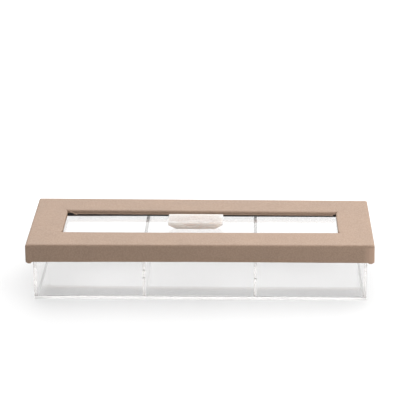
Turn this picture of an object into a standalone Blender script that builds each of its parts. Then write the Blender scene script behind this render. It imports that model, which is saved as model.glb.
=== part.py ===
"""Three-compartment watch box: a clear acrylic tray under a leather-covered lift-off lid.

Metres, +Z up. The origin is the middle of the underside of the tray, X runs along the box and
-Y is the front. The lid lifts straight up off the tray, and its stone handle is bonded to the
clear pane in its window.
"""

import math

import bmesh
import bpy
from mathutils import Vector

# Driving dimensions
LID_LENGTH = 0.343
LID_DEPTH = 0.1305
LID_TOP = 0.0611
SKIRT_BOTTOM = 0.0427
LEATHER_THICKNESS = 0.001
BORDER_WIDTH = 0.0341
WINDOW_TURN_DOWN = 0.0048
HEM_WIDTH = 0.0054
LEATHER_EDGE_RADIUS = 0.0015
LEATHER_CORNER_RADIUS = 0.0016
INNER_CORNER_RADIUS = 0.0001
WINDOW_EDGE_RADIUS = 0.0022
CORNER_SEGMENTS = 3
EDGE_SEGMENTS = 3
SHARP_ANGLE = 0.7

TOP_BOARD_THICKNESS = 0.0048
SKIRT_BOARD_THICKNESS = 0.0034
TOP_BOARD_SETBACK = 0.0003
LINING_THICKNESS = 0.0004

SHEET = 0.003
PANE_THICKNESS = 0.002
TRAY_LENGTH = 0.3296
TRAY_DEPTH = 0.118
COMPARTMENTS = 3
DIVIDER_SHIFTS = (-0.0009, 0.0004)
SHEET_ARRIS = 0.00025

HANDLE_X = -0.006
HANDLE_Y = -0.0018
HANDLE_LENGTH = 0.0552
HANDLE_DEPTH = 0.0238
HANDLE_BAND = 0.0037
HANDLE_BEVEL_HEIGHT = 0.0063
HANDLE_BEVEL_INSET = 0.0072
HANDLE_CORNER_CUT = 0.0024
HANDLE_BASE_CUT = 0.0012
HANDLE_ARRIS = 0.0004

# Clearance between two pieces that touch or are glued face to face
GAP = 0.0003

# Heights of the lid's layers, from the leather down to the tray's rim
TOP_BOARD_HIGH = LID_TOP - LEATHER_THICKNESS - GAP
TOP_BOARD_LOW = TOP_BOARD_HIGH - TOP_BOARD_THICKNESS
PANE_HIGH = TOP_BOARD_LOW - GAP
PANE_LOW = PANE_HIGH - PANE_THICKNESS
TRAY_RIM = PANE_LOW - GAP
SKIRT_BOARD_LOW = SKIRT_BOTTOM + LEATHER_THICKNESS + GAP

# Distances inwards from the leather's outer face
BOARD_OUTSIDE = LEATHER_THICKNESS + GAP
SKIRT_BOARD_INSIDE = BOARD_OUTSIDE + SKIRT_BOARD_THICKNESS
LINING_OUTSIDE = SKIRT_BOARD_INSIDE + GAP
TOP_BOARD_INSIDE = BORDER_WIDTH - LEATHER_THICKNESS - TOP_BOARD_SETBACK


def clear_scene():
    for obj in list(bpy.data.objects):
        bpy.data.objects.remove(obj, do_unlink=True)


def make_material(name, color, roughness, metallic=0.0, transmission=0.0):
    material = bpy.data.materials.new(name)
    material.use_nodes = True
    shader = material.node_tree.nodes["Principled BSDF"]
    shader.inputs["Base Color"].default_value = (*color, 1.0)
    shader.inputs["Roughness"].default_value = roughness
    shader.inputs["Metallic"].default_value = metallic
    shader.inputs["Transmission Weight"].default_value = transmission
    material.diffuse_color = (*color, 1.0)
    return material


def make_body_empty(name, height):
    """An empty that carries one rigid body, placed on the line along which that body moves."""
    empty = bpy.data.objects.new(name, None)
    empty.location = (0.0, 0.0, height)
    bpy.context.collection.objects.link(empty)
    return empty


def add_mesh_object(name, bm, material, parent, location=(0.0, 0.0, 0.0)):
    """Links the bmesh as a named object at a world location, under the body's empty."""
    bmesh.ops.recalc_face_normals(bm, faces=bm.faces)
    mesh = bpy.data.meshes.new(name)
    bm.to_mesh(mesh)
    bm.free()
    mesh.materials.append(material)
    obj = bpy.data.objects.new(name, mesh)
    obj.parent = parent
    obj.location = Vector(location) - parent.location
    bpy.context.collection.objects.link(obj)
    return obj


def add_slab(name, low, high, material, parent, arris=0.0):
    """A rectangular board or sheet between two world corners, with its sharp edges broken."""
    low, high = Vector(low), Vector(high)
    bm = bmesh.new()
    bmesh.ops.create_cube(bm, size=1.0)
    bmesh.ops.scale(bm, vec=high - low, verts=bm.verts)
    if arris > 0.0:
        bmesh.ops.bevel(bm, geom=bm.edges, offset=arris, segments=1, affect="EDGES")
    return add_mesh_object(name, bm, material, parent, (low + high) / 2)


def cut_rectangle_loop(bm, half_length, half_depth, cut, height):
    """A rectangle whose four corners are cut off at 45 degrees, anticlockwise from the front left."""
    points = []
    for x, y in ((-1, -1), (1, -1), (1, 1), (-1, 1)):
        along = (x * (half_length - cut), y * half_depth)
        across = (x * half_length, y * (half_depth - cut))
        points += [across, along] if x * y > 0 else [along, across]
    return [bm.verts.new((x, y, height)) for x, y in points]


def bridge(bm, lower, upper):
    count = len(lower)
    for i in range(count):
        j = (i + 1) % count
        bm.faces.new((lower[i], lower[j], upper[j], upper[i]))


def add_ring_strips(prefix, outside, inside, low_z, high_z, material, parent):
    """Four butt-jointed strips round the lid: long front and back ones with short ones between.

    outside and inside are distances inwards from the leather's outer face.
    """
    x_out = LID_LENGTH / 2 - outside
    y_out = LID_DEPTH / 2 - outside
    x_in = LID_LENGTH / 2 - inside
    y_in = LID_DEPTH / 2 - inside
    for side, label in ((-1, "front"), (1, "back")):
        y_low, y_high = sorted((side * y_in, side * y_out))
        low = (-x_out, y_low, low_z)
        high = (x_out, y_high, high_z)
        add_slab(f"{prefix}_{label}", low, high, material, parent)
    for side, label in ((-1, "left"), (1, "right")):
        x_low, x_high = sorted((side * x_in, side * x_out))
        low = (x_low, -y_in + GAP, low_z)
        high = (x_high, y_in - GAP, high_z)
        add_slab(f"{prefix}_{label}", low, high, material, parent)


def build_tray(acrylic, tray):
    """A base panel with four walls standing on it, and full-height dividers from front to back.

    The dividers stand close to equal thirds, each off by the shift with which it was bonded.
    """
    half_x = TRAY_LENGTH / 2
    half_y = TRAY_DEPTH / 2
    inner_x = half_x - SHEET
    inner_y = half_y - SHEET
    wall_low = SHEET + GAP
    add_slab("base_panel", (-half_x, -half_y, 0), (half_x, half_y, SHEET), acrylic, tray, SHEET_ARRIS)
    for side, label in ((-1, "front"), (1, "back")):
        y_low, y_high = sorted((side * inner_y, side * half_y))
        low = (-half_x, y_low, wall_low)
        high = (half_x, y_high, TRAY_RIM)
        add_slab(f"{label}_wall", low, high, acrylic, tray, SHEET_ARRIS)

    def add_cross_sheet(name, x_low):
        low = (x_low, -inner_y + GAP, wall_low)
        high = (x_low + SHEET, inner_y - GAP, TRAY_RIM)
        add_slab(name, low, high, acrylic, tray, SHEET_ARRIS)

    add_cross_sheet("left_end_wall", -half_x)
    add_cross_sheet("right_end_wall", inner_x)
    compartment = (2 * inner_x - (COMPARTMENTS - 1) * SHEET) / COMPARTMENTS
    for i, label in enumerate(("left", "right")):
        x_low = -inner_x + (i + 1) * compartment + i * SHEET + DIVIDER_SHIFTS[i]
        add_cross_sheet(f"{label}_divider", x_low)


def build_lid_boards(board, lining, lid):
    """The boards under the leather, and the lining strips inside the skirt."""
    add_ring_strips(
        "top_board", BOARD_OUTSIDE, TOP_BOARD_INSIDE, TOP_BOARD_LOW, TOP_BOARD_HIGH, board, lid
    )
    add_ring_strips(
        "skirt_board", BOARD_OUTSIDE, SKIRT_BOARD_INSIDE, SKIRT_BOARD_LOW, PANE_HIGH, board, lid
    )
    lining_inside = LINING_OUTSIDE + LINING_THICKNESS
    add_ring_strips(
        "skirt_lining", LINING_OUTSIDE, lining_inside, SKIRT_BOARD_LOW, PANE_LOW - GAP, lining, lid
    )


def build_window_pane(acrylic, lid):
    """A clear sheet that fills the lid from skirt to skirt, bonded under the top boards."""
    half_x = LID_LENGTH / 2 - LINING_OUTSIDE
    half_y = LID_DEPTH / 2 - LINING_OUTSIDE
    low = (-half_x, -half_y, PANE_LOW)
    high = (half_x, half_y, PANE_HIGH)
    add_slab("window_pane", low, high, acrylic, lid, SHEET_ARRIS)


def rounded_loop(bm, inset, height):
    """A rectangle with rounded corners, anticlockwise, at this distance inwards from the lid's outside."""
    radius = max(LEATHER_CORNER_RADIUS - inset, INNER_CORNER_RADIUS)
    centre_x = LID_LENGTH / 2 - inset - radius
    centre_y = LID_DEPTH / 2 - inset - radius
    loop = []
    for quarter, (x, y) in enumerate(((1, 1), (-1, 1), (-1, -1), (1, -1))):
        for step in range(CORNER_SEGMENTS + 1):
            angle = math.radians(90 * (quarter + step / CORNER_SEGMENTS))
            point = (x * centre_x + radius * math.cos(angle), y * centre_y + radius * math.sin(angle))
            loop.append(bm.verts.new((*point, height)))
    return loop


def quarter_round(inset, height, radius, from_degrees):
    """Profile points along a quarter circle round a centre, clockwise from this angle."""
    points = []
    for step in range(EDGE_SEGMENTS + 1):
        angle = math.radians(from_degrees - 90 * step / EDGE_SEGMENTS)
        points.append((inset + radius * math.cos(angle), height + radius * math.sin(angle)))
    return points


def build_leather_cover(leather, lid):
    """One closed skin: hem under the skirt, outer face, top border and turn-down at the window."""
    edge_low = LID_TOP - WINDOW_TURN_DOWN
    under_top = LID_TOP - LEATHER_THICKNESS
    over_hem = SKIRT_BOTTOM + LEATHER_THICKNESS
    window_skin = BORDER_WIDTH - LEATHER_THICKNESS
    outer_round = quarter_round(
        LEATHER_EDGE_RADIUS, LID_TOP - LEATHER_EDGE_RADIUS, LEATHER_EDGE_RADIUS, 180
    )
    window_round = quarter_round(
        BORDER_WIDTH - WINDOW_EDGE_RADIUS, LID_TOP - WINDOW_EDGE_RADIUS, WINDOW_EDGE_RADIUS, 90
    )
    profile = [
        (0.0, SKIRT_BOTTOM),
        *outer_round,
        *window_round,
        (BORDER_WIDTH, edge_low),
        (window_skin, edge_low),
        (window_skin, under_top),
        (LEATHER_THICKNESS, under_top),
        (LEATHER_THICKNESS, over_hem),
        (HEM_WIDTH, over_hem),
        (HEM_WIDTH, SKIRT_BOTTOM),
    ]
    bm = bmesh.new()
    loops = [rounded_loop(bm, inset, height) for inset, height in profile]
    for i, loop in enumerate(loops):
        bridge(bm, loop, loops[(i + 1) % len(loops)])
    obj = add_mesh_object("leather_cover", bm, leather, lid)
    obj.data.shade_smooth()
    obj.data.set_sharp_from_angle(angle=SHARP_ANGLE)


def build_handle(stone, lid):
    """A bar of stone with an upright band on top, and four faces sloping in to a narrow foot."""
    half_x = HANDLE_LENGTH / 2
    half_y = HANDLE_DEPTH / 2
    foot_z = 0.0
    band_low = HANDLE_BEVEL_HEIGHT
    top_z = HANDLE_BEVEL_HEIGHT + HANDLE_BAND
    sections = (
        (HANDLE_BEVEL_INSET, HANDLE_BASE_CUT, foot_z),
        (0.0, HANDLE_CORNER_CUT, band_low),
        (0.0, HANDLE_CORNER_CUT, top_z - HANDLE_ARRIS),
        (HANDLE_ARRIS, HANDLE_CORNER_CUT, top_z),
    )
    bm = bmesh.new()
    loops = [
        cut_rectangle_loop(bm, half_x - inset, half_y - inset, cut, height)
        for inset, cut, height in sections
    ]
    for lower, upper in zip(loops, loops[1:]):
        bridge(bm, lower, upper)
    bm.faces.new(loops[0])
    bm.faces.new(loops[-1])
    add_mesh_object("handle", bm, stone, lid, (HANDLE_X, HANDLE_Y, PANE_HIGH + GAP))


def main():
    clear_scene()
    acrylic = make_material("clear_acrylic", (0.96, 0.97, 0.97), 0.02, transmission=1.0)
    leather = make_material("taupe_leather", (0.52, 0.38, 0.30), 0.55)
    board = make_material("black_board", (0.02, 0.02, 0.02), 0.8)
    lining = make_material("black_lining", (0.015, 0.015, 0.016), 0.95)
    stone = make_material("pale_stone", (0.82, 0.76, 0.71), 0.25)
    tray = make_body_empty("tray_frame", 0.0)
    lid = make_body_empty("lid_frame", SKIRT_BOTTOM)
    build_tray(acrylic, tray)
    build_lid_boards(board, lining, lid)
    build_window_pane(acrylic, lid)
    build_leather_cover(leather, lid)
    build_handle(stone, lid)


main()
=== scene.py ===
"""Looks of the watch box: clear acrylic tray, leather-covered lid with a window, stone bar handle.

Metres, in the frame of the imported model: the box stands on z = 0 and -Y is its front.
"""

import math

import bmesh
import bpy
from mathutils import Matrix, Vector, noise


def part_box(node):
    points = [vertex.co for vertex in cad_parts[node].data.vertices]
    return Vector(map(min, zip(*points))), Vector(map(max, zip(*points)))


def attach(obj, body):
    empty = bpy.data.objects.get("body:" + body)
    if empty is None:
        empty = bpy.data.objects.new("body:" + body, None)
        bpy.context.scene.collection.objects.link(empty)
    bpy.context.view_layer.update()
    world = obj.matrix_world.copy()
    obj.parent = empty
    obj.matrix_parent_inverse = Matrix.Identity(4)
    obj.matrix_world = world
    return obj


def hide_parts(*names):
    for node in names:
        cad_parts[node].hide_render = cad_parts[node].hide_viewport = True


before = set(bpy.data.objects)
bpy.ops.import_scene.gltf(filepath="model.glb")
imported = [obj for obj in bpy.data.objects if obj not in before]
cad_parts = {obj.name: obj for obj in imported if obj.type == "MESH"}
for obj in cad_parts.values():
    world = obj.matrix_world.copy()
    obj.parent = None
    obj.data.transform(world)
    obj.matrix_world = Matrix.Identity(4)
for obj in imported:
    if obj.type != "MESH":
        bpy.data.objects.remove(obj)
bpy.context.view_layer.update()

# Camera: 163 mm lens on a 36 mm sensor, about 1.8 m away and 20 degrees above the table
CAMERA_LENS = 163.2
CAMERA_SENSOR = 36.0
CAMERA_PITCH = math.radians(20.025)
CAMERA_YAW = math.radians(-1.7455)
CAMERA_ROLL = math.radians(-0.3843)
CAMERA_DISTANCE = 1.8279
CAMERA_TARGET = Vector((-0.00106, 0.0, 0.0840))

# Studio light, as radiance: dim room in front, bright backdrop behind, large soft light overhead.
# A spread is where the light starts and where it is full: by how far a direction points backward,
# and by its cosine with the overhead direction.
ROOM_LIGHT = 0.345
BACKDROP_LIGHT = 0.65
BACKDROP_SPREAD = (-0.3, 0.6)
OVERHEAD_LIGHT = 2.9
OVERHEAD_SPREAD = (0.62, 1.0)
OVERHEAD_DIRECTION = Vector((0.08, 0.355, 1.0)).normalized()

# Floor: it glows a little, and more from behind the box on
FLOOR_SIZE = 12.0
FLOOR_DROP = 0.0002
FLOOR_GLOW = 0.51
SWEEP_GLOW = 0.25
SWEEP_SPREAD = (0.08, 0.22)

# Soft side light, beyond the right end of the box and a little in front of it
SIDE_LIGHT_PLACE = Vector((0.75, -0.35, 0.5))
SIDE_LIGHT_SIZE = 0.5
SIDE_LIGHT_POWER = 5.2

# How far the corners of the lid stand off its drawn place: it is a little twisted, and its hem sags
LID_RISE = 0.00006
LID_LEAN_X = -0.00014
LID_LEAN_Y = 0.00021
LID_TWIST = -0.00059
HEM_SAG_LEFT = 0.0008
HEM_SAG_RIGHT = 0.0003
HEM_SAG_POWER = 1.3

# Leather skin, and the rounds of its edges and corners
SKIN = 0.0009
HEM_RADIUS = 0.0006
HEM_RISE = 0.0004
HEM_CLEARANCE = 0.0003
LID_EDGE_RADIUS = 0.0023
LID_CORNER_RADIUS = 0.0009
WINDOW_CORNER_RADIUS = 0.0002
WINDOW_EDGE_RADIUS = 0.0024
BOARD_GAP = 0.0013

# Its mesh: rows up the rim and across the border, and steps along a side, closest at its ends
RIM_ROWS = 9
BORDER_ROWS = 14
CORNER_STEPS = 6
FINEST_STEP = 0.00035
COARSEST_STEP = 0.003
STEP_GROWTH = 1.1

# How far the window's edges lie off their drawn place: left and right edge, middle and ends of the
# front edge, left and right end of the back edge. The pull fades over this share of the border.
WINDOW_SIDE_PULL = (0.0008, 0.0)
WINDOW_FRONT_PULL = (0.0010, 0.0016)
WINDOW_BACK_PULL = (0.0010, 0.0022)
PULL_FADE = 0.9

# Flaps turned down in the window: height above the pane, trim at their left and right end, lip,
# curled ends, and how steeply their ends are cut back. On the short sides, only SIDE_EDGE_SHARE of
# the round's depth is left.
FLAP_HEIGHT = 0.0023
FLAP_TRIM = (0.0002, 0.0006)
LIP_TURN = 0.0008
LIP_HEIGHT = 0.0006
LIP_FIRST_SHARE = 0.4
CURL_TURN = 0.0009
CURL_REACH = 0.0016
SLANT_START = 0.4
FLAP_SLANT_LEFT = 2.3
FLAP_SLANT_RIGHT = 1.1
SIDE_EDGE_SHARE = 0.2
EDGE_SLACK = 0.00002
WINDOW_SLACK = 0.001

# Uneven stretch of the leather: (share, scale, seed) of broad swells and of dimples
UNEVENNESS = 0.00012
SWELLS = (0.6, 45, 3.1)
DIMPLES = (0.4, 160, 7.7)

# Folds at the lid's outer corners, which hang a little below the hem
DIAGONAL = 0.7
CORNER_SLACK = 0.0002
FOLD_ROUNDING = 0.0024
FOLD_FLAT = 0.0050
FOLD_REACH = 0.0061
FOLD_DROP_LEFT = 0.0014
FOLD_DROP_RIGHT = 0.0008
FOLD_SWELL = 0.0002
FOLD_TUCK = 0.0008
FOLD_TUCK_REACH = 0.0026
FOLD_TUCK_HEIGHT = 0.0024

# Seams by the corners of the rim: a groove on the short sides, a wrapped strip on the long ones
RIM_START = 0.0008
RIM_DEPTH = 0.0004
SEAM_OFFSET = 0.0020
SEAM_SLANT = 0.0008
SEAM_WIDTH = 0.0007
SEAM_DEPTH = 0.0005
SEAM_FADE = 0.65
WRAP_WIDTH = 0.0056
WRAP_STEP = 0.0004
WRAP_RISE = 0.00025
WRAP_LINE_OFFSET = 0.0009
WRAP_LINE_WIDTH = 0.0006
WRAP_LINE_DEPTH = 0.0004

# Leather patches behind the slanted ends of the flaps
PATCH_REACH = 0.011
PATCH_THICKNESS = 0.0003
PATCH_CLEARANCE = 0.00005
PATCH_RAISE = 0.0003
PATCH_ARRIS = 0.0001
PATCH_CELL = 0.001

# Leather colours; at the right end of the rim a lighter colour is painted on as the side light's
# highlight, between these places
LEATHER_HOLLOW = (0.262, 0.174, 0.120)
LEATHER_PEBBLE = (0.305, 0.208, 0.145)
LEATHER_RUBBED = (0.37, 0.268, 0.201)
LEATHER_SIDE_LIT_HIGHLIGHT = (0.385, 0.256, 0.184)
SIDE_HIGHLIGHT_X = (0.1590, 0.1680)
SIDE_HIGHLIGHT_Z = (0.0575, 0.0600)

# Boards and lining strips inside the lid
STRIP_NOISE_SCALE = 120
BOARD_ARRIS = 0.0003
BOARD_CELL = 0.008
BOARD_UNEVENNESS = 0.00006
BOARD_CLEARANCE = 0.00005
LINING_ARRIS = 0.00012
LINING_CELL = 0.004
LINING_UNEVENNESS = 0.00012

# Haze on the cut edges of the acrylic, as roughness, by the sheet's thin axis
EDGE_HAZE = {"X": 0.2, "Y": 0.2, "Z": 0.55}

# Beads of cement in the bottom corners of the tray; the profile is in shares of the leg
CEMENT_COVER = 0.35
BEAD_LEG = 0.0012
BEAD_PROFILE = ((0.0, 0.0), (1.0, 0.0), (0.5, 0.14), (0.22, 0.3), (0.08, 0.55), (0.0, 0.9))
BEAD_CLEARANCE = 0.00003
BEAD_STEP = 0.0015
BEAD_END = 0.35
BEAD_TAPER = 4
BEAD_UNEVENNESS = 0.3
BEAD_NOISE_SCALE = 130

# Bubbles in the dividers' joints: (distance from the divider's left face, z, width, height)
BUBBLE_COVER = 0.9
BUBBLE_THICKNESS = 0.000154
BUBBLE_UNEVENNESS = 0.35
BUBBLE_NOISE_SCALE = 2.3
LEFT_BUBBLES = (
    (0.0014, 0.0307, 0.0030, 0.0013),
    (0.0013, 0.0224, 0.0032, 0.0014),
    (0.0008, 0.0258, 0.0012, 0.0008),
)
RIGHT_BUBBLES = (
    (0.0015, 0.0222, 0.0032, 0.0012),
    (0.0006, 0.0262, 0.0014, 0.0008),
    (0.0006, 0.0234, 0.0012, 0.0007),
)

# Handle: cuts at its four corners, anticlockwise from the front left, and the sizes of its faces
HANDLE_CUTS = (0.0012, 0.0018, 0.0005, 0.0006)
HANDLE_SHIFT = 0.0005
HANDLE_FOOT_CUT = 0.0012
HANDLE_WAIST = 0.0063
HANDLE_FOOT_INSET = 0.0072
HANDLE_ARRIS = 0.0003
HANDLE_ARRIS_ANGLE = math.radians(15)
HANDLE_DRIFT = 0.0002
STONE_WEAR = 0.00003
STONE_NOISE_SCALE = 220


# ---------------------------------------------------------------- node helpers


def node(tree, kind, sockets=None, **settings):
    """Adds a node with these settings, and sets or links its input sockets."""
    added = tree.nodes.new(kind)
    for name, value in settings.items():
        setattr(added, name, value)
    for key, value in (sockets or {}).items():
        if isinstance(value, bpy.types.NodeSocket):
            tree.links.new(value, added.inputs[key])
        else:
            added.inputs[key].default_value = value
    return added


def math_node(tree, operation, a, b=0.0):
    return node(tree, "ShaderNodeMath", {0: a, 1: b}, operation=operation).outputs[0]


def map_range(tree, value, from_low, from_high, to_low=0.0, to_high=1.0, smooth=False):
    kind = "SMOOTHSTEP" if smooth else "LINEAR"
    sockets = {
        "Value": value,
        "From Min": from_low,
        "From Max": from_high,
        "To Min": to_low,
        "To Max": to_high,
    }
    return node(tree, "ShaderNodeMapRange", sockets, interpolation_type=kind).outputs["Result"]


def mix_color(tree, factor, a, b, blend="MIX"):
    mix = node(tree, "ShaderNodeMix", data_type="RGBA", blend_type=blend)
    for index, value in ((0, factor), (6, a), (7, b)):
        if isinstance(value, bpy.types.NodeSocket):
            tree.links.new(value, mix.inputs[index])
        elif index == 0:
            mix.inputs[index].default_value = value
        else:
            mix.inputs[index].default_value = (*value, 1.0)
    return mix.outputs[2]


def object_coordinates(tree):
    return node(tree, "ShaderNodeTexCoord").outputs["Object"]


def stretched(tree, vector, scale):
    return node(tree, "ShaderNodeMapping", {"Vector": vector, "Scale": scale}).outputs["Vector"]


def noise_texture(tree, vector, scale, detail=2.0, roughness=0.5, distortion=0.0):
    sockets = {
        "Vector": vector,
        "Scale": scale,
        "Detail": detail,
        "Roughness": roughness,
        "Distortion": distortion,
    }
    return node(tree, "ShaderNodeTexNoise", sockets).outputs["Fac"]


def bump(tree, height, distance, strength=1.0):
    sockets = {"Height": height, "Distance": distance, "Strength": strength}
    return node(tree, "ShaderNodeBump", sockets).outputs["Normal"]


def new_material(name):
    material = bpy.data.materials.new(name)
    material.use_nodes = True
    tree = material.node_tree
    shader = tree.nodes["Principled BSDF"]
    output = tree.nodes["Material Output"]
    return material, tree, shader, output


# ------------------------------------------------------------------- materials


def leather_material():
    """Taupe leather with a fine pebble grain, lighter in rubbed spots, and with the side light's
    highlight painted on at the right end of the rim.
    """
    material, tree, shader, _ = new_material("taupe_leather")
    place = object_coordinates(tree)
    wander = node(tree, "ShaderNodeTexNoise", {"Vector": place, "Scale": 420.0, "Detail": 2.0})
    bent = node(tree, "ShaderNodeVectorMath", {0: wander.outputs["Color"]}, operation="MULTIPLY_ADD")
    bent.inputs[1].default_value = (0.0011, 0.0011, 0.0011)
    tree.links.new(place, bent.inputs[2])
    cells = node(tree, "ShaderNodeTexVoronoi", {"Vector": bent.outputs[0], "Scale": 700.0})
    pebble = map_range(tree, cells.outputs["Distance"], 0.15, 0.75, 1.0, 0.0, smooth=True)
    fine = noise_texture(tree, place, 2600, 3.0, 0.6)
    creases = noise_texture(tree, place, 260, 3.0, 0.6)
    height = math_node(tree, "ADD", pebble, math_node(tree, "MULTIPLY", fine, 0.45))
    height = math_node(tree, "ADD", height, math_node(tree, "MULTIPLY", creases, 0.3))
    patches = noise_texture(tree, place, 34, 4.0, 0.55)
    base = mix_color(tree, pebble, LEATHER_HOLLOW, LEATHER_PEBBLE)
    patch = map_range(tree, patches, 0.3, 0.7)
    warm = mix_color(tree, patch, (0.96, 0.965, 0.97), (1.035, 1.03, 1.025))
    color = mix_color(tree, 1.0, base, warm, "MULTIPLY")
    rub = map_range(tree, noise_texture(tree, place, 520, 4.0, 0.7), 0.6, 0.8)
    color = mix_color(tree, math_node(tree, "MULTIPLY", rub, 0.24), color, LEATHER_RUBBED)
    # Painted highlight: the right end of the rim, below the top, is made lighter where the side light
    # falls on it
    parts = node(tree, "ShaderNodeSeparateXYZ", {"Vector": place})
    at_end = map_range(tree, parts.outputs["X"], *SIDE_HIGHLIGHT_X, 0.0, 1.0, smooth=True)
    highlight_on_rim = map_range(tree, parts.outputs["Z"], *SIDE_HIGHLIGHT_Z, 1.0, 0.0, smooth=True)
    color = mix_color(tree, math_node(tree, "MULTIPLY", at_end, highlight_on_rim), color, LEATHER_SIDE_LIT_HIGHLIGHT)
    tree.links.new(color, shader.inputs["Base Color"])
    tree.links.new(map_range(tree, height, 0.0, 1.9, 0.62, 0.44), shader.inputs["Roughness"])
    tree.links.new(bump(tree, height, 0.00007), shader.inputs["Normal"])
    return material


def acrylic_material(thin_axis):
    """Clear acrylic sheet that lets light through to the table, with faint smears and rub marks.

    Its cut edges, which are the faces that don't look along thin_axis, are a little hazy.
    """
    material, tree, shader, output = new_material(f"clear_acrylic_{thin_axis}")
    place = object_coordinates(tree)
    smears = noise_texture(tree, place, 22, 3.0, 0.6, 0.8)
    rubs = noise_texture(tree, stretched(tree, place, (60.0, 900.0, 900.0)), 1.0, 2.0, 0.5)
    haze = math_node(tree, "MULTIPLY", map_range(tree, smears, 0.5, 0.8), 0.004)
    rubbed = math_node(tree, "MULTIPLY", map_range(tree, rubs, 0.66, 0.8), 0.004)
    normal = node(tree, "ShaderNodeNewGeometry").outputs["Normal"]
    facing = node(tree, "ShaderNodeSeparateXYZ", {0: normal})
    along = math_node(tree, "ABSOLUTE", facing.outputs[thin_axis])
    cut_edge = map_range(tree, along, 0.3, 0.9, EDGE_HAZE[thin_axis], 0.0)
    polished = math_node(tree, "ADD", haze, rubbed)
    tree.links.new(math_node(tree, "ADD", polished, cut_edge), shader.inputs["Roughness"])
    swell = noise_texture(tree, place, 60, 1.0)
    tree.links.new(bump(tree, swell, 0.00002, 0.02), shader.inputs["Normal"])
    shader.inputs["Base Color"].default_value = (0.99, 0.988, 0.988, 1.0)
    shader.inputs["Transmission Weight"].default_value = 1.0
    shader.inputs["IOR"].default_value = 1.49
    clear = node(tree, "ShaderNodeBsdfTransparent", {"Color": (0.98, 0.98, 0.98, 1.0)})
    path = node(tree, "ShaderNodeLightPath")
    shadows = node(tree, "ShaderNodeMixShader")
    tree.links.new(path.outputs["Is Shadow Ray"], shadows.inputs[0])
    tree.links.new(shader.outputs[0], shadows.inputs[1])
    tree.links.new(clear.outputs[0], shadows.inputs[2])
    tint = {"Color": (0.90, 0.892, 0.884, 1.0), "Density": 14.0}
    body = node(tree, "ShaderNodeVolumeAbsorption", tint)
    tree.links.new(body.outputs[0], output.inputs["Volume"])
    bounces = node(tree, "ShaderNodeMixShader")
    tree.links.new(path.outputs["Is Diffuse Ray"], bounces.inputs[0])
    tree.links.new(shadows.outputs[0], bounces.inputs[1])
    tree.links.new(clear.outputs[0], bounces.inputs[2])
    tree.links.new(bounces.outputs[0], output.inputs["Surface"])
    return material


def cement_material(name, cover, dark, light):
    """Set acrylic cement: milky, with a soft surface; cover is how much it hides."""
    material, tree, shader, _ = new_material(name)
    place = object_coordinates(tree)
    cloud = noise_texture(tree, place, 500, 3.0, 0.6)
    tree.links.new(mix_color(tree, cloud, dark, light), shader.inputs["Base Color"])
    tree.links.new(map_range(tree, cloud, 0.2, 0.8, 0.25, 0.5), shader.inputs["Roughness"])
    tree.links.new(bump(tree, cloud, 0.00003), shader.inputs["Normal"])
    shader.inputs["Alpha"].default_value = cover
    return material


def board_material():
    """Fibreboard painted matt black, with the fibre just telling through the paint."""
    material, tree, shader, _ = new_material("black_board")
    place = object_coordinates(tree)
    fibre = noise_texture(tree, stretched(tree, place, (500.0, 500.0, 1800.0)), 1.0, 4.0, 0.65)
    worn = noise_texture(tree, place, 140, 3.0, 0.6)
    strand = map_range(tree, fibre, 0.3, 0.7)
    color = mix_color(tree, strand, (0.018, 0.017, 0.017), (0.040, 0.038, 0.037))
    color = mix_color(tree, map_range(tree, worn, 0.62, 0.8), color, (0.075, 0.068, 0.062))
    tree.links.new(color, shader.inputs["Base Color"])
    tree.links.new(map_range(tree, fibre, 0.0, 1.0, 0.7, 0.95), shader.inputs["Roughness"])
    tree.links.new(bump(tree, fibre, 0.00008), shader.inputs["Normal"])
    return material


def lining_material():
    """Black suede cloth: short brushed nap that catches light at grazing angles."""
    material, tree, shader, _ = new_material("black_suede")
    place = object_coordinates(tree)
    nap = noise_texture(tree, place, 3200, 2.0, 0.7)
    brushed = noise_texture(tree, stretched(tree, place, (90.0, 90.0, 240.0)), 1.0, 3.0, 0.6)
    stroke = map_range(tree, brushed, 0.35, 0.65)
    color = mix_color(tree, stroke, (0.014, 0.013, 0.014), (0.034, 0.032, 0.033))
    tree.links.new(color, shader.inputs["Base Color"])
    tree.links.new(map_range(tree, nap, 0.2, 0.8, 0.85, 1.0), shader.inputs["Roughness"])
    tree.links.new(bump(tree, nap, 0.0001), shader.inputs["Normal"])
    shader.inputs["Sheen Weight"].default_value = 0.25
    shader.inputs["Sheen Roughness"].default_value = 0.4
    shader.inputs["Sheen Tint"].default_value = (0.5, 0.48, 0.48, 1.0)
    return material


def stone_material():
    """Polished cream stone, translucent, with soft pink veins along it and small pits."""
    material, tree, shader, _ = new_material("pale_stone")
    place = object_coordinates(tree)
    clouds = noise_texture(tree, stretched(tree, place, (60.0, 120.0, 160.0)), 1.0, 5.0, 0.6, 0.4)
    veins = noise_texture(tree, stretched(tree, place, (38.0, 230.0, 330.0)), 1.0, 6.0, 0.62, 1.1)
    ridge = math_node(tree, "ABSOLUTE", math_node(tree, "SUBTRACT", veins, 0.5))
    vein = map_range(tree, ridge, 0.0, 0.06, 1.0, 0.0, smooth=True)
    cloud = map_range(tree, clouds, 0.32, 0.68)
    body = mix_color(tree, cloud, (0.385, 0.357, 0.337), (0.455, 0.444, 0.431))
    color = mix_color(tree, math_node(tree, "MULTIPLY", vein, 0.5), body, (0.36, 0.272, 0.245))
    tree.links.new(color, shader.inputs["Base Color"])
    pits = noise_texture(tree, place, 900, 3.0, 0.6)
    tree.links.new(map_range(tree, pits, 0.3, 0.8, 0.22, 0.42), shader.inputs["Roughness"])
    tree.links.new(bump(tree, pits, 0.00003), shader.inputs["Normal"])
    shader.inputs["Subsurface Weight"].default_value = 1.0
    shader.inputs["Subsurface Scale"].default_value = 0.04
    shader.inputs["Specular IOR Level"].default_value = 0.35
    shader.inputs["Subsurface Radius"].default_value = (1.0, 0.85, 0.75)
    return material


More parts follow.
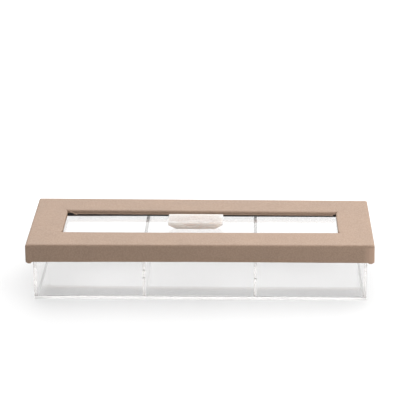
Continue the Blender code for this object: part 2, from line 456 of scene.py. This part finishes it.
def floor_material():
    """White studio sweep with a trace of paper tooth; it glows, more brightly behind the box."""
    material, tree, shader, _ = new_material("white_sweep")
    place = object_coordinates(tree)
    tooth = noise_texture(tree, place, 160, 3.0, 0.6)
    color = mix_color(tree, tooth, (0.298, 0.298, 0.298), (0.308, 0.308, 0.308))
    tree.links.new(color, shader.inputs["Base Color"])
    tree.links.new(map_range(tree, tooth, 0.0, 1.0, 0.5, 0.6), shader.inputs["Roughness"])
    shader.inputs["Specular IOR Level"].default_value = 0.25
    shader.inputs["Emission Color"].default_value = (1.0, 1.0, 1.0, 1.0)
    depth = node(tree, "ShaderNodeSeparateXYZ", {0: place}).outputs["Y"]
    behind = map_range(tree, depth, *SWEEP_SPREAD, 0.0, SWEEP_GLOW, smooth=True)
    tree.links.new(math_node(tree, "ADD", behind, FLOOR_GLOW), shader.inputs["Emission Strength"])
    return material


# --------------------------------------------------------------- mesh helpers


def link_mesh(name, bm, material, smooth=True):
    """Makes an object of the mesh, with its faces turned outward."""
    bmesh.ops.recalc_face_normals(bm, faces=bm.faces)
    mesh = bpy.data.meshes.new(name)
    bm.to_mesh(mesh)
    bm.free()
    mesh.materials.append(material)
    piece = bpy.data.objects.new(name, mesh)
    bpy.context.scene.collection.objects.link(piece)
    if smooth:
        mesh.shade_smooth()
    return piece


def apply_modifiers(piece):
    """Writes the modified shape into the mesh, so that no modifier is left."""
    graph = bpy.context.evaluated_depsgraph_get()
    mesh = bpy.data.meshes.new_from_object(piece.evaluated_get(graph))
    piece.modifiers.clear()
    piece.data = mesh


def smoothstep(low, high, value):
    """0 up to low, 1 from high, and an even slope with soft ends between them."""
    t = min(max((value - low) / (high - low), 0.0), 1.0)
    return t * t * (3 - 2 * t)


def uneven(point, scale, seed):
    """Smooth noise between about -1 and 1 at a point, with features about 1 / scale metres wide."""
    return noise.noise(Vector(point) * scale + Vector((seed, seed * 2.3, seed * 0.7)))


def arc(centre, radius, from_degrees, to_degrees, steps):
    """Points of an arc round a centre, with both its ends."""
    points = []
    for step in range(steps + 1):
        angle = math.radians(from_degrees + (to_degrees - from_degrees) * step / steps)
        points.append((centre[0] + radius * math.cos(angle), centre[1] + radius * math.sin(angle)))
    return points


def graded_steps(length):
    """Positions from 0 to 1 along a side: close together at its ends, wider in the middle."""
    half = []
    at, step = 0.0, FINEST_STEP
    while at < length / 2 - COARSEST_STEP / 2:
        half.append(at)
        at += step
        step = min(step * STEP_GROWTH, COARSEST_STEP)
    positions = half + [length / 2] + [length - a for a in reversed(half)]
    return [p / length for p in positions]


def top_rise(u, v):
    """How far the top of the lid stands above its drawn place; u and v run from -1 to 1 across it."""
    return LID_RISE + LID_LEAN_X * u + LID_LEAN_Y * v + LID_TWIST * u * v


def hem_sag(u):
    """How far the lid's hem hangs below its drawn place."""
    return (HEM_SAG_LEFT if u < 0 else HEM_SAG_RIGHT) * abs(u) ** HEM_SAG_POWER


def stitch(bm, lower, upper, closed):
    """Faces between two rows of vertices; a closed row joins up with its own start."""
    count = len(lower) if closed else len(lower) - 1
    for i in range(count):
        j = (i + 1) % len(lower)
        bm.faces.new((lower[i], lower[j], upper[j], upper[i]))


def slab_steps(low, high, arris, cell):
    """Places of the mesh lines of a slab along one axis, the first and last for its rounded edges."""
    count = max(1, round((high - low - 2 * arris) / cell))
    inner = [low + arris + (high - low - 2 * arris) * k / count for k in range(count + 1)]
    return [low] + inner + [high]


def add_rounded_slab(bm, low, high, arris, cell):
    """A board or strip between two corners, with rounded edges and a mesh fine enough to bend."""
    lines = [slab_steps(low[axis], high[axis], arris, cell) for axis in range(3)]
    made = {}

    def vertex(index):
        if index not in made:
            point = Vector(lines[axis][index[axis]] for axis in range(3))
            core = Vector(min(max(point[a], low[a] + arris), high[a] - arris) for a in range(3))
            made[index] = bm.verts.new(core + (point - core).normalized() * arris)
        return made[index]

    for axis in range(3):
        first, second = (axis + 1) % 3, (axis + 2) % 3
        for end in (0, len(lines[axis]) - 1):
            for i in range(len(lines[first]) - 1):
                for j in range(len(lines[second]) - 1):
                    quad = []
                    for across, along in ((0, 0), (1, 0), (1, 1), (0, 1)):
                        index = [0, 0, 0]
                        index[axis] = end
                        index[first] = i + across
                        index[second] = j + along
                        quad.append(vertex(tuple(index)))
                    bm.faces.new(quad)


# -------------------------------------------------------------- leather cover


class LeatherShape:
    """Where the leather runs: a profile of (inset, height) points, swept round the lid."""

    # Sides anticlockwise from the front: the corner that each starts at, and its direction
    sides = (
        (Vector((-1, -1)), Vector((1, 0))),
        (Vector((1, -1)), Vector((0, 1))),
        (Vector((1, 1)), Vector((-1, 0))),
        (Vector((-1, 1)), Vector((0, -1))),
    )

    def __init__(self):
        low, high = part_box("leather_cover")
        self.half = Vector((high.x, high.y))
        self.top = high.z
        self.bottom = low.z
        self.border = self.half.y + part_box("top_board_front")[1].y + BOARD_GAP
        self.window_x = self.half.x - self.border
        self.window_y = self.half.y - self.border
        self.flap_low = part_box("window_pane")[1].z + FLAP_HEIGHT
        self.hem_end = self.half.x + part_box("skirt_lining_left")[1].x - HEM_CLEARANCE
        self.steps = [graded_steps(2 * (self.half.y if side % 2 else self.half.x)) for side in range(4)]

    def ring_rows(self):
        """Rows that run all round: turned-under hem, rim, rounded edge and border."""
        rows = [(self.hem_end, self.bottom + HEM_RISE)]
        rows += [(self.hem_end * k / 3 + HEM_RADIUS * (1 - k / 3), self.bottom) for k in (2, 1)]
        rows += arc((HEM_RADIUS, self.bottom + HEM_RADIUS), HEM_RADIUS, 270, 180, 4)
        face_low = self.bottom + HEM_RADIUS
        face_high = self.top - LID_EDGE_RADIUS
        face_step = face_high - face_low
        rows += [(0.0, face_low + face_step * k / RIM_ROWS) for k in range(1, RIM_ROWS)]
        rows += arc((LID_EDGE_RADIUS, face_high), LID_EDGE_RADIUS, 180, 90, 6)
        flat = self.border - WINDOW_EDGE_RADIUS - LID_EDGE_RADIUS
        for k in range(1, BORDER_ROWS + 1):
            rows.append((LID_EDGE_RADIUS + flat * k / BORDER_ROWS, self.top))
        return rows

    def flap_rows(self):
        """Rows of a flap, each (inset, height, how far down the slanted cuts it lies)."""
        edge = self.top - WINDOW_EDGE_RADIUS
        rows = arc((self.border - WINDOW_EDGE_RADIUS, edge), WINDOW_EDGE_RADIUS, 90, 0, 7)[1:]
        rows += [(self.border, edge + (self.flap_low - edge) * k / 4) for k in range(1, 4)]
        rows.append((self.border + LIP_TURN * LIP_FIRST_SHARE, self.flap_low + LIP_HEIGHT))
        rows.append((self.border + LIP_TURN, self.flap_low))
        start = self.top - WINDOW_EDGE_RADIUS * SLANT_START
        return [(inset, z, max(start - z, 0.0)) for inset, z in rows]

    def corner_radius(self, inset):
        """Radius of a ring's corners, seen from above."""
        share = smoothstep(LID_EDGE_RADIUS, self.border - WINDOW_EDGE_RADIUS, inset)
        return LID_CORNER_RADIUS * (1 - share) + WINDOW_CORNER_RADIUS * share

    def side_points(self, side, inset, radius, drop=0.0):
        """Points along a side; drop draws its ends back from the corners, as slanted cuts do."""
        corner, along = self.sides[side]
        start = Vector((corner.x * (self.half.x - inset), corner.y * (self.half.y - inset)))
        next_corner = self.sides[(side + 1) % 4][0]
        clear, far_clear = (
            radius + drop * (FLAP_SLANT_LEFT if end.x < 0 else FLAP_SLANT_RIGHT)
            for end in (corner, next_corner)
        )
        length = 2 * abs(start.dot(along)) - clear - far_clear
        inward = Vector((-along.y, along.x))
        curl_turn = 0.0 if side % 2 else CURL_TURN
        points = []
        for t in self.steps[side]:
            run = length * t
            at_end = 1 - smoothstep(0.0, CURL_REACH, min(run, length - run))
            curl = curl_turn * at_end * min(drop / CURL_REACH, 1.0)
            points.append(start + along * (clear + run) + inward * curl)
        return points

    def corner_points(self, side, inset, radius):
        """The arc that follows a side, without its two end points."""
        corner, _ = self.sides[(side + 1) % 4]
        centre = Vector((
            corner.x * (self.half.x - inset - radius),
            corner.y * (self.half.y - inset - radius),
        ))
        first = -90 + 90 * side
        angles = [math.radians(first + 90 * k / CORNER_STEPS) for k in range(1, CORNER_STEPS)]
        return [centre + radius * Vector((math.cos(a), math.sin(a))) for a in angles]


def make_leather(material):
    """One skin over the rim and the border, with a flap turned down at each side of the window."""
    shape = LeatherShape()
    bm = bmesh.new()
    rings = []
    for inset, z in shape.ring_rows():
        radius = shape.corner_radius(inset)
        ring = []
        for side in range(4):
            points = shape.side_points(side, inset, radius) + shape.corner_points(side, inset, radius)
            ring.append([bm.verts.new((p.x, p.y, z)) for p in points])
        rings.append(ring)
    for lower, upper in zip(rings, rings[1:]):
        low_loop = [v for part in lower for v in part]
        high_loop = [v for part in upper for v in part]
        stitch(bm, low_loop, high_loop, closed=True)
    for side in range(4):
        previous = rings[-1][side][: len(shape.steps[side])]
        for inset, z, drop in shape.flap_rows():
            points = shape.side_points(side, inset, WINDOW_CORNER_RADIUS, drop)
            current = [bm.verts.new((p.x, p.y, z)) for p in points]
            stitch(bm, previous, current, closed=False)
            previous = current
    shape_leather(bm, shape)
    piece = link_mesh("leather_border", bm, material)
    skin = piece.modifiers.new("skin", "SOLIDIFY")
    skin.thickness = SKIN
    skin.offset = -1.0
    skin.use_even_offset = False
    apply_modifiers(piece)
    return piece


def window_pull(x, y, shape):
    """How far the window's edge, leather and boards, lies from its drawn place: cut by hand."""
    fade = shape.border * PULL_FADE
    by_short_edge = 1 - smoothstep(0.0, fade, abs(abs(x) - shape.window_x))
    by_long_edge = 1 - smoothstep(0.0, fade, abs(abs(y) - shape.window_y))
    left, right = WINDOW_SIDE_PULL
    pull_x = (-left if x < 0 else right) * by_short_edge
    if y < 0:
        middle, ends = WINDOW_FRONT_PULL
        across = min(abs(x) / shape.window_x, 1.0)
        pull_y = (middle + (ends - middle) * across**2) * by_long_edge
    else:
        left, right = WINDOW_BACK_PULL
        across = smoothstep(-shape.window_x, shape.window_x, x)
        pull_y = -(left + (right - left) * across) * by_long_edge
    return Vector((pull_x, pull_y, 0.0))


def flatter_side(x, y, z, shape):
    """Makes the round of the window's two side edges wide and shallow, and their lip small."""
    from_edge = shape.window_x - abs(x)
    from_top = shape.top - z
    reach = WINDOW_EDGE_RADIUS + EDGE_SLACK
    along_side = abs(y) < shape.window_y - WINDOW_EDGE_RADIUS
    in_round = -WINDOW_EDGE_RADIUS <= from_edge <= EDGE_SLACK and from_top <= reach
    on_lip = EDGE_SLACK < from_edge <= LIP_TURN + EDGE_SLACK
    if not (along_side and (in_round or on_lip)):
        return Vector((0.0, 0.0, 0.0))
    shrink = 1 - SIDE_EDGE_SHARE
    return Vector((math.copysign(from_edge * shrink, x), 0.0, 0.0 if on_lip else from_top * shrink))


def stretch_unevenly(move, vertex):
    """Lets the skin swell and sink a little, mostly inward."""
    swells, dimples = (
        share * uneven(vertex.co, scale, seed) for share, scale, seed in (SWELLS, DIMPLES)
    )
    amount = UNEVENNESS * (swells + dimples)
    move += vertex.normal * (amount - UNEVENNESS * 0.5)


def fold_corner(move, place, shape, lowness):
    """Lets the folded corner hang below the hem, swells it and tucks its lower end in."""
    x, y, z = place
    off_x = max(shape.half.x - abs(x) - CORNER_SLACK, 0)
    off_y = max(shape.half.y - abs(y) - CORNER_SLACK, 0)
    from_corner = math.hypot(off_x, off_y)
    near = 1 - smoothstep(FOLD_FLAT, FOLD_REACH, from_corner)
    rounding = smoothstep(0.0, FOLD_ROUNDING, from_corner)
    move.z -= (FOLD_DROP_LEFT if x < 0 else FOLD_DROP_RIGHT) * near * rounding * lowness
    # About a unit step along the diagonal of the corner
    outward = Vector((math.copysign(1, x), math.copysign(1, y), 0)) * DIAGONAL
    move += outward * FOLD_SWELL * near * lowness
    at_corner = 1 - smoothstep(0.0, FOLD_TUCK_REACH, from_corner)
    at_hem = 1 - smoothstep(shape.bottom, shape.bottom + FOLD_TUCK_HEIGHT, z)
    move -= outward * FOLD_TUCK * at_corner * at_hem


def press_seams(move, place, shape, lowness):
    """Presses a groove into the short sides of the rim, and wraps its corners onto the long ones."""
    x, y, z = place
    if z >= shape.top - RIM_START:
        return
    if abs(x) > shape.half.x - RIM_DEPTH:
        to_seam = abs(shape.half.y - abs(y) - SEAM_OFFSET - SEAM_SLANT * lowness)
        depth = SEAM_DEPTH * (1 - smoothstep(0.0, SEAM_WIDTH, to_seam))
        move.x -= math.copysign(depth * (1 - SEAM_FADE + SEAM_FADE * lowness), x)
    elif abs(y) > shape.half.y - RIM_DEPTH:
        from_end = shape.half.x - abs(x)
        wrapped = 1 - smoothstep(WRAP_WIDTH, WRAP_WIDTH + WRAP_STEP, from_end)
        line = 1 - smoothstep(0.0, WRAP_LINE_WIDTH, abs(from_end - WRAP_LINE_OFFSET))
        # The line is a fine double groove: it never goes below the rim's face
        move.y += math.copysign(abs(WRAP_RISE * wrapped - WRAP_LINE_DEPTH * line), y)


def trim_flap(move, place, shape):
    """Shortens the flaps in the window a little, more towards the right."""
    x, y, z = place
    edge = shape.top - WINDOW_EDGE_RADIUS
    in_window = abs(x) < shape.window_x + WINDOW_SLACK and abs(y) < shape.window_y + WINDOW_SLACK
    if in_window and z < edge:
        left, right = FLAP_TRIM
        trim = left + (right - left) * smoothstep(-shape.half.x, shape.half.x, x)
        move.z += trim * (1 - smoothstep(shape.flap_low, edge, z))


def shape_leather(bm, shape):
    """Moves the leather off its drawn shape: twisted, stretched unevenly, and folded at the corners."""
    bm.normal_update()
    middle = (shape.top + shape.bottom) / 2
    moves = []
    for vertex in bm.verts:
        place = vertex.co.copy()
        x, y, z = place
        lowness = 1 - smoothstep(shape.bottom, middle, z)
        move = Vector((0.0, 0.0, 0.0))
        stretch_unevenly(move, vertex)
        fold_corner(move, place, shape, lowness)
        press_seams(move, place, shape, lowness)
        move += window_pull(x, y, shape) + flatter_side(x, y, z, shape)
        trim_flap(move, place, shape)
        u, v = x / shape.half.x, y / shape.half.y
        share = smoothstep(shape.bottom, shape.top, z)
        move.z += top_rise(u, v) * share - hem_sag(u) * (1 - share)
        moves.append(move)
    for vertex, move in zip(bm.verts, moves):
        vertex.co += move


def make_corner_patches(material):
    """Small leather patches on the boards, behind the slanted ends of the turned-down flaps."""
    shape = LeatherShape()
    window = shape.half - Vector((shape.border, shape.border))
    near = SKIN + PATCH_CLEARANCE
    z_low = shape.flap_low + PATCH_RAISE
    z_high = shape.top - SKIN - PATCH_CLEARANCE
    bm = bmesh.new()
    for x, y in ((-1, -1), (1, -1), (1, 1), (-1, 1)):
        corner = Vector((x * window.x, y * window.y))
        outer = corner + Vector((x, y)) * (near + PATCH_THICKNESS)
        inner = corner + Vector((x, y)) * near
        ends = (
            Vector((corner.x - x * PATCH_REACH, inner.y)),
            Vector((inner.x, corner.y - y * PATCH_REACH)),
        )
        for end in ends:
            along_y = abs(end.x - inner.x) < PATCH_THICKNESS
            start = Vector((outer.x, inner.y - y * PATCH_CLEARANCE)) if along_y else outer
            low = Vector((min(start.x, end.x), min(start.y, end.y), z_low))
            high = Vector((max(start.x, end.x), max(start.y, end.y), z_high))
            add_rounded_slab(bm, low, high, PATCH_ARRIS, PATCH_CELL)
    for vertex in bm.verts:
        x, y = vertex.co.xy
        u, v = x / shape.half.x, y / shape.half.y
        vertex.co += window_pull(x, y, shape)
        vertex.co.z += top_rise(u, v) * smoothstep(shape.bottom, shape.top, vertex.co.z)
    piece = link_mesh("leather_corner_patches", bm, material)
    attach(piece, "lid")


# ----------------------------------------------------------- boards and lining


def make_lid_strip(name, cad_name, material, arris, cell, unevenness, seed):
    """One board or lining strip of the lid, bent with the twisted lid it is glued into."""
    low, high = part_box(cad_name)
    shape = LeatherShape()
    pane_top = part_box("window_pane")[1].z
    lies_flat = low.z > pane_top
    if lies_flat:
        # A top board rests on the pane, with no film of glue left to see between them
        low.z = pane_top + BOARD_CLEARANCE
    bm = bmesh.new()
    add_rounded_slab(bm, low, high, arris, cell)
    bm.normal_update()
    moves = []
    for vertex in bm.verts:
        x, y, z = vertex.co
        u, v = x / shape.half.x, y / shape.half.y
        share = (z - low.z) / (high.z - low.z)
        rise = top_rise(u, v) * share if lies_flat else -hem_sag(u) * (1 - share)
        # Roughness only ever goes inward, so that a strip stays clear of its neighbours
        rough = unevenness * (uneven(vertex.co, STRIP_NOISE_SCALE, seed) * 0.5 - 0.5)
        move = vertex.normal * rough + Vector((0.0, 0.0, rise))
        if lies_flat:
            move += window_pull(x, y, shape)
        moves.append(move)
    for vertex, move in zip(bm.verts, moves):
        vertex.co += move
    piece = link_mesh(name, bm, material)
    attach(piece, "lid")
    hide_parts(cad_name)
    return piece


def make_lid_strips(board, lining):
    """The boards and the lining strip of each side of the lid."""
    for index, side in enumerate(("front", "back", "left", "right")):
        for kind in ("top", "skirt"):
            piece = make_lid_strip(
                f"board_{kind}_{side}", f"{kind}_board_{side}", board,
                BOARD_ARRIS, BOARD_CELL, BOARD_UNEVENNESS, 1.3 + index,
            )
        piece = make_lid_strip(
            f"lining_{side}", f"skirt_lining_{side}", lining,
            LINING_ARRIS, LINING_CELL, LINING_UNEVENNESS, 8.3 + index,
        )


# ------------------------------------------------------- cement in the joints


def make_bead(name, material, end, side):
    """A concave bead of set cement along the bottom inner corner of an end wall."""
    wall_low, wall_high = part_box(f"{end}_end_wall")
    floor_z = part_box("base_panel")[1].z
    wall_x = wall_high.x if side < 0 else wall_low.x
    start = wall_low.y + BEAD_LEG
    length = wall_high.y - wall_low.y - 2 * BEAD_LEG
    count = round(length / BEAD_STEP)
    bm = bmesh.new()
    previous = None
    for k in range(count + 1):
        y = start + length * k / count
        taper = min(1.0, BEAD_END + BEAD_TAPER * min(k, count - k) / count)
        swell = 1 + BEAD_UNEVENNESS * uneven((0.0, y, 0.0), BEAD_NOISE_SCALE, 4.4 + side)
        leg = BEAD_LEG * taper * swell
        loop = []
        for across, up in BEAD_PROFILE:
            x = wall_x - side * (BEAD_CLEARANCE + leg * across)
            loop.append(bm.verts.new((x, y, floor_z + BEAD_CLEARANCE + leg * up)))
        if previous:
            stitch(bm, previous, loop, closed=True)
        else:
            bm.faces.new(loop)
        previous = loop
    bm.faces.new(previous)
    piece = link_mesh(name, bm, material)
    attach(piece, "tray")


def make_bubbles(name, material, divider, spots):
    """Flat bubbles in the cement between a divider and the front wall."""
    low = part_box(divider)[0]
    wall_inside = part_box("front_wall")[1].y
    y = (low.y + wall_inside) / 2
    bm = bmesh.new()
    for number, (x, z, width, height) in enumerate(spots):
        created = bmesh.ops.create_icosphere(bm, subdivisions=3, radius=0.5)["verts"]
        for vertex in created:
            swell = 1 + BUBBLE_UNEVENNESS * uneven(vertex.co, BUBBLE_NOISE_SCALE, 6.1 + number)
            across, through, up = vertex.co * swell
            flat = Vector((across * width, through * BUBBLE_THICKNESS, up * height))
            vertex.co = Vector((low.x + x, y, z)) + flat
    piece = link_mesh(name, bm, material)
    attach(piece, "tray")


# --------------------------------------------------------------------- handle


def make_handle(material):
    """A bar of stone, cut by hand: upright band, four faces sloping in to a narrow foot."""
    low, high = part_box("handle")
    centre = (low + high) / 2
    half_x = (high.x - low.x) / 2
    half_y = (high.y - low.y) / 2
    sections = (
        (HANDLE_FOOT_INSET, (HANDLE_FOOT_CUT,) * 4, low.z),
        (0.0, HANDLE_CUTS, low.z + HANDLE_WAIST),
        (0.0, HANDLE_CUTS, high.z),
    )
    bm = bmesh.new()
    loops = []
    for level, (inset, cuts, z) in enumerate(sections):
        loop = []
        for corner, (x, y) in enumerate(((-1, -1), (1, -1), (1, 1), (-1, 1))):
            cut = cuts[corner]
            along = Vector((x * (half_x - inset - cut), y * (half_y - inset), z))
            across = Vector((x * (half_x - inset), y * (half_y - inset - cut), z))
            ends = (across, along) if x * y > 0 else (along, across)
            for end, point in enumerate(ends):
                spot = (corner, end, level)
                drift = Vector((uneven(spot, 1.7, 5.5), uneven(spot, 2.1, 1.5), 0)) * HANDLE_DRIFT
                place = Vector((centre.x + HANDLE_SHIFT, centre.y, 0)) + point + drift
                loop.append(bm.verts.new(place))
        loops.append(loop)
    for lower, upper in zip(loops, loops[1:]):
        stitch(bm, lower, upper, closed=True)
    bm.faces.new(loops[0])
    bm.faces.new(loops[-1])
    piece = link_mesh("stone_handle", bm, material, smooth=False)
    rounding = piece.modifiers.new("arris", "BEVEL")
    rounding.width = HANDLE_ARRIS
    rounding.segments = 2
    rounding.limit_method = "ANGLE"
    rounding.angle_limit = HANDLE_ARRIS_ANGLE
    apply_modifiers(piece)
    # Fine unevenness of the polished faces; the foot stays flat on the pane
    bm = bmesh.new()
    bm.from_mesh(piece.data)
    bmesh.ops.subdivide_edges(bm, edges=bm.edges, cuts=3, use_grid_fill=True)
    bm.normal_update()
    for vertex in bm.verts:
        if vertex.co.z > low.z + HANDLE_ARRIS:
            vertex.co += vertex.normal * STONE_WEAR * (uneven(vertex.co, STONE_NOISE_SCALE, 2.2) - 0.5)
    bm.to_mesh(piece.data)
    bm.free()
    return piece


# ---------------------------------------------------------------- studio setup


def make_world():
    """Studio light from all round: dim in front, brighter behind and brightest overhead."""
    world = bpy.data.worlds.new("studio")
    bpy.context.scene.world = world
    world.use_nodes = True
    tree = world.node_tree
    direction = node(tree, "ShaderNodeTexCoord").outputs["Generated"]
    parts = node(tree, "ShaderNodeSeparateXYZ", {0: direction})
    behind = map_range(tree, parts.outputs["Y"], *BACKDROP_SPREAD, 0.0, BACKDROP_LIGHT, smooth=True)
    lean = node(tree, "ShaderNodeVectorMath", {0: direction}, operation="DOT_PRODUCT")
    lean.inputs[1].default_value = OVERHEAD_DIRECTION
    close = lean.outputs["Value"]
    overhead = map_range(tree, close, *OVERHEAD_SPREAD, 0.0, OVERHEAD_LIGHT, smooth=True)
    total = math_node(tree, "ADD", math_node(tree, "ADD", behind, overhead), ROOM_LIGHT)
    background = tree.nodes["Background"]
    background.inputs["Color"].default_value = (1.0, 1.0, 1.0, 1.0)
    tree.links.new(total, background.inputs["Strength"])


def make_side_light():
    data = bpy.data.lights.new("side_light", "AREA")
    data.shape = "DISK"
    data.size = SIDE_LIGHT_SIZE
    data.energy = SIDE_LIGHT_POWER
    light = bpy.data.objects.new("side_light", data)
    light.location = SIDE_LIGHT_PLACE
    light.rotation_euler = SIDE_LIGHT_PLACE.to_track_quat("Z", "Y").to_euler()
    bpy.context.scene.collection.objects.link(light)


def make_floor(material):
    bm = bmesh.new()
    half = FLOOR_SIZE / 2
    corners = ((-half, -half), (half, -half), (half, half), (-half, half))
    bm.faces.new([bm.verts.new((x, y, -FLOOR_DROP)) for x, y in corners])
    floor = link_mesh("studio_floor", bm, material, smooth=False)


def make_camera():
    scene = bpy.context.scene
    data = bpy.data.cameras.new("camera")
    data.lens = CAMERA_LENS
    data.sensor_width = CAMERA_SENSOR
    data.clip_end = 50.0
    camera = bpy.data.objects.new("camera", data)
    scene.collection.objects.link(camera)
    forward = Vector((
        math.sin(CAMERA_YAW) * math.cos(CAMERA_PITCH),
        math.cos(CAMERA_YAW) * math.cos(CAMERA_PITCH),
        -math.sin(CAMERA_PITCH),
    ))
    level = Vector((math.cos(CAMERA_YAW), -math.sin(CAMERA_YAW), 0.0))
    upright = level.cross(forward)
    right = math.cos(CAMERA_ROLL) * level + math.sin(CAMERA_ROLL) * upright
    up = -math.sin(CAMERA_ROLL) * level + math.cos(CAMERA_ROLL) * upright
    turn = Matrix((right, up, -forward)).transposed().to_4x4()
    camera.matrix_world = Matrix.Translation(CAMERA_TARGET - forward * CAMERA_DISTANCE) @ turn
    scene.camera = camera


def set_render_look():
    scene = bpy.context.scene
    scene.view_settings.view_transform = "Standard"
    scene.cycles.max_bounces = 64
    scene.cycles.transmission_bounces = 48
    scene.cycles.glossy_bounces = 48
    scene.cycles.diffuse_bounces = 6
    scene.cycles.transparent_max_bounces = 32
    scene.cycles.caustics_reflective = False
    scene.cycles.caustics_refractive = False


def dress(material, names):
    """Gives CAD nodes of the frame this material."""
    for name in names:
        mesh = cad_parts[name].data
        mesh.materials.clear()
        mesh.materials.append(material)


make_camera()
make_world()
make_side_light()
set_render_look()
make_floor(floor_material())

acrylic = {axis: acrylic_material(axis) for axis in "XYZ"}
dress(acrylic["X"], ("left_end_wall", "right_end_wall", "left_divider", "right_divider"))
dress(acrylic["Y"], ("front_wall", "back_wall"))
dress(acrylic["Z"], ("base_panel", "window_pane"))

make_lid_strips(board_material(), lining_material())
cement = cement_material("set_cement", CEMENT_COVER, (0.88, 0.88, 0.88), (0.96, 0.96, 0.96))
# The bubbles are real, but their dark grey is painted shade: it stands in for how dark the air pockets
# look in the joint
bubble_shade = cement_material("bubble_shade_cement", BUBBLE_COVER, (0.46, 0.44, 0.43), (0.60, 0.59, 0.58))
make_bead("weld_bead_left", cement, "left", -1)
make_bead("weld_bead_right", cement, "right", 1)
make_bubbles("weld_bubbles_left", bubble_shade, "left_divider", LEFT_BUBBLES)
make_bubbles("weld_bubbles_right", bubble_shade, "right_divider", RIGHT_BUBBLES)

leather = leather_material()
leather_piece = make_leather(leather)
make_corner_patches(leather)
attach(leather_piece, "lid")
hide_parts("leather_cover")

handle_piece = make_handle(stone_material())
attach(handle_piece, "lid")
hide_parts("handle")
